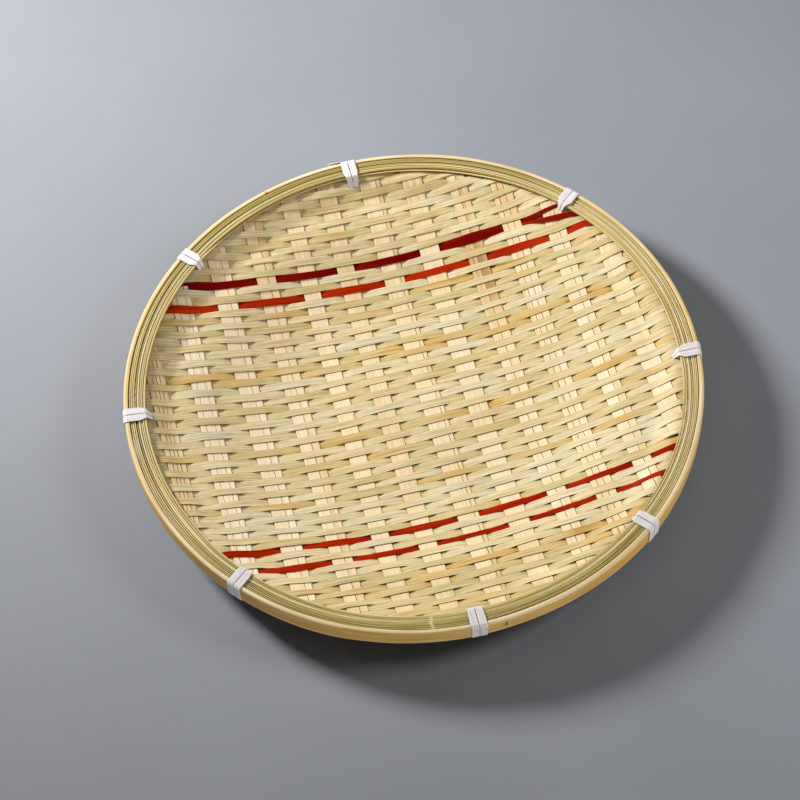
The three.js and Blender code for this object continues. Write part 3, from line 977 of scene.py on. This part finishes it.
# %% [markdown]
# Two such loops lie side by side in each binding, with soft ribs on their outer face. Each pair was pulled
# tight by hand, so it has a slant of its own and is drawn together by as much as the weave lets it.

# %% Bindings
strap_width = 2.9
rib_height = 0.03
rib_count = 4
turn_gap = 0.28
edge_drop, back_share = 0.07, 0.96  # mm that the face's edges bend down, and how wide the back is
strap_outside, past_hoop = 115.0, 0.6  # the loop's outer radius, and mm that it comes in under the hoop
clear_below, clear_above = 0.02, 0.1  # mm between the hoop and the strap
narrows_from, narrowest_at = 108.5, 17.8  # it narrows from this radius to where it is at this height
# Some pairs sit to one side, or slant: mm anticlockwise at the inner end and at the outer one.
strap_shifts = {90: (-0.4, -0.4), 268: (0.4, 0.4), 308: (0.6, 1.0), 351: (0, 1.5)}
face = np.linspace(-1, 1, 4 * rib_count + 1)
ribs = rib_height * (0.5 + 0.5 * np.cos(np.pi * rib_count * (face + 1 / rib_count)))
ribs[[0, -1]] = -edge_drop
across = np.concatenate([face, [back_share, 0, -back_share]])
lift = np.concatenate([strap_thickness + ribs, [0, 0, 0]])

for number, (angle, entry) in enumerate(zip(binding_angles, entry_widths), start=1):
    under = float(hoop_bottom(angle)) + clear_below
    over = hoop_top + float(rim_rise(angle)) + clear_above
    over_band = over - clear_above
    path, travel, length = rounded_loop([
        [hoop_inside - past_hoop, under, 0.5], [strap_outside, under, 1.1], [strap_outside, over, 1.1],
        [strap_radius(angle, over_band), over_band, 0.6], [strap_radius(angle, strap_low), strap_low, 0.6],
    ])
    ahead = np.roll(path, -1, axis=0) - np.roll(path, 1, axis=0)
    ahead /= np.linalg.norm(ahead, axis=1)[:, None]
    outward = np.stack([ahead[:, 1], -ahead[:, 0]], axis=1)
    # The strap keeps its width over the rim and is drawn together on its way down to the weave.
    narrowing = narrows_from - strap_radius(angle, narrowest_at)
    inner_share = climb(narrows_from - path[:, 0], 0, narrowing)
    shift_ends = [strap_radius(angle, strap_low), strap_outside]
    shift = np.interp(path[:, 0], shift_ends, strap_shifts.get(angle, (0, 0)))
    for side, letter in ((-1, "a"), (1, "b")):
        width = strap_width + (entry - strap_width) * inner_share + wander(travel, 6, 0.08, ring=True)
        middle = side * (width + turn_gap) / 2 + wander(travel, 12, 0.04, ring=True)
        sideways = (middle + shift)[:, None] + across * width[:, None] / 2
        radius = path[:, :1] + outward[:, :1] * lift
        height = path[:, 1:] + outward[:, 1:] * lift
        rings = placed(radius, sideways, height, math.radians(angle))
        along = np.append(travel, length)
        strap = sweep(f"strap_{number}{letter}", rings, along, 0, strap_plastic, closed=True)
        belongs(strap, "white_strap", f"binding_{number}")
print("bindings:", len(binding_angles))

# %% [markdown]
# ## A loose end
#
# The far binding's loose end sticks out to the left along the hoop's outer edge, and lifts off it at the
# tip.

# %% Loose end of the far strap
tail_stations = 9
tail_turn = np.radians(np.linspace(91.2, 93.9, tail_stations))
tail_lift = 0.15 + 0.5 * np.linspace(0, 1, tail_stations) ** 2
half = np.linspace(0.75, 0.6, tail_stations)
tail_thickness, tail_height, tip_slope = 0.25, 20.6, 0.05
near, far = hoop_outside + tail_lift, hoop_outside + tail_lift + tail_thickness
radius = np.stack([near - 0.25 * half, far - 0.25 * half, far + 0.1 * half, near + 0.1 * half], axis=1)
height = tail_height + np.stack([half, half - tip_slope, -half - tip_slope, -half], axis=1)
rings = placed(radius, 0, height, tail_turn[:, None])
tail_along = (tail_turn - tail_turn[0]) * strap_outside
tail = sweep("strap_2_loose_end", rings, tail_along, 0, strap_plastic)
belongs(tail, "white_strap", "binding_2")
print("loose end, mm long:", round(float(tail_along[-1]), 1))

# %% [markdown]
# ## The split red weft
#
# Beside the strap at the far right the first red weft has split. One half keeps to its row. The other has
# slipped over the pale block below it, and the gap between them is filled lower down by a dark brown sliver,
# which is painted shade. Both are short splints, with their edges and their height given at a few places and
# softened between them.

# %% Slipped strand and sliver
def loose_strand(letter, ends, far, near, rise, tone, material, slot):
    """A short strand of the split weft. Each curve is its places along the row and its values there."""
    along = np.linspace(*ends, 64)
    far, near, rise, tone = (rounded_off(np.interp(along, *curve)) for curve in (far, near, rise, tone))
    across, height = splint_section(far - near, weft_thickness)
    y = (far + near)[:, None] / 2 + across
    rings = above_dish(along[:, None], y, height + rise[:, None])
    piece = sweep(f"red_weft_splint_13{letter}", rings, along - along[0], tone[:, None], material)
    belongs(piece, slot, red_rows[split_row])
    print(piece.name, "is", round(float((far - near).max()), 1), "mm wide")


loose_strand("b", (57, 88.5),
             ([57, 64.5, 71.1, 77.1, 83.2, 88.5], [69.25, 69.15, 68.0, 66.6, 65.2, 63.9]),
             ([57, 66.5, 69.5, 71.4, 79.3, 88.5], [67.7, 67.45, 66.8, 66.1, 63.7, 61.8]),
             ([57, 64, 68, 71, 75, 78, 81, 85, 88.5], [-0.4, -0.38, 0.3, 0.45, 0.5, 0.62, 0.62, 0.45, 0.4]),
             ([64, 70, 78, 86], [0.45, 0.4, 0.2, 0.1]), red_bamboo, "red_dyed_bamboo")
# The sliver is painted shade: a dark brown piece that fills the gap below the two strands.
loose_strand("c", (65, 79), ([65, 79], [69.4, 69.4]), ([65, 79], [67.95, 67.95]),
             ([65, 68, 72, 79], [-0.58, -0.5, -0.42, -0.42]),
             ([65, 79], [0.95, 0.95]), weft_bamboo, "weft_bamboo")

# %% [markdown]
# ## Check and finish
#
# Each piece is a closed body, so its volume is positive when its faces point out. A piece with a negative
# volume has its faces turned.

# %% Check and finish
import bmesh

for piece in [o for o in bpy.data.objects if "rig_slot" in o]:
    body = bmesh.new()
    body.from_mesh(piece.data)
    if body.calc_volume(signed=True) < 0:
        bmesh.ops.reverse_faces(body, faces=body.faces)
        body.to_mesh(piece.data)
        print("turned out:", piece.name)
    body.free()
